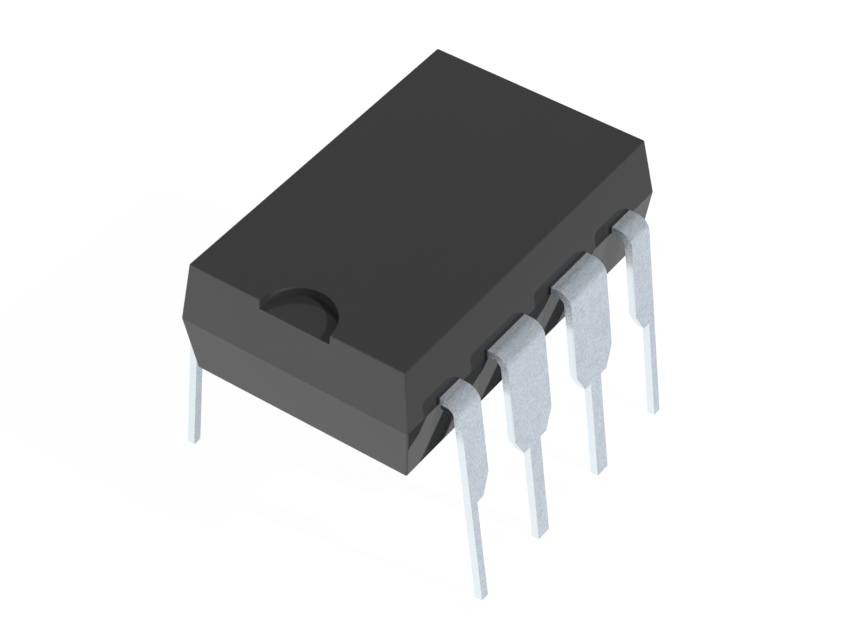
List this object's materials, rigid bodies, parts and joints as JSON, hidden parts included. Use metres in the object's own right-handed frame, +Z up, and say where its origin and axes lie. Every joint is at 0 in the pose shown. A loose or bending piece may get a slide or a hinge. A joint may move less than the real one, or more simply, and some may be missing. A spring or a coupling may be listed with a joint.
{
  "type": "comparator chip",
  "caption": "Comparator chip in a moulded dual in-line package with splayed through-hole leads, an end notch, and its lead frame, die and bond wires inside.",
  "frame": {"origin": "on the ground under the middle of the body, level with the lead tips", "axes": "+Z up out of the package's top face, -Y towards the notched end, +X towards the row of leads 1 to 4"},
  "size_m": [0.0088, 0.01, 0.0074],
  "materials": {
    "mould_compound": "black filled epoxy, smooth from the mould, dark with a faint clear reflection",
    "tinned_copper": "matt tin plate with a fine grain",
    "silver_adhesive": "silver-filled epoxy",
    "silicon": "polished silicon",
    "gold_wire": "bright gold"
  },
  "bodies": {
    "root": {"moulded_body": "mould_compound", "lead_1": "tinned_copper", "lead_2": "tinned_copper", "lead_3": "tinned_copper", "lead_4_and_paddle": "tinned_copper", "lead_5": "tinned_copper", "lead_6": "tinned_copper", "lead_7": "tinned_copper", "lead_8": "tinned_copper", "die_attach": "silver_adhesive", "comparator_die": "silicon", "bond_wire_1": "gold_wire", "bond_wire_2": "gold_wire", "bond_wire_3": "gold_wire", "bond_wire_4": "gold_wire", "bond_wire_5": "gold_wire", "bond_wire_6": "gold_wire", "bond_wire_7": "gold_wire", "bond_wire_8": "gold_wire"}
  },
  "joints": []
}
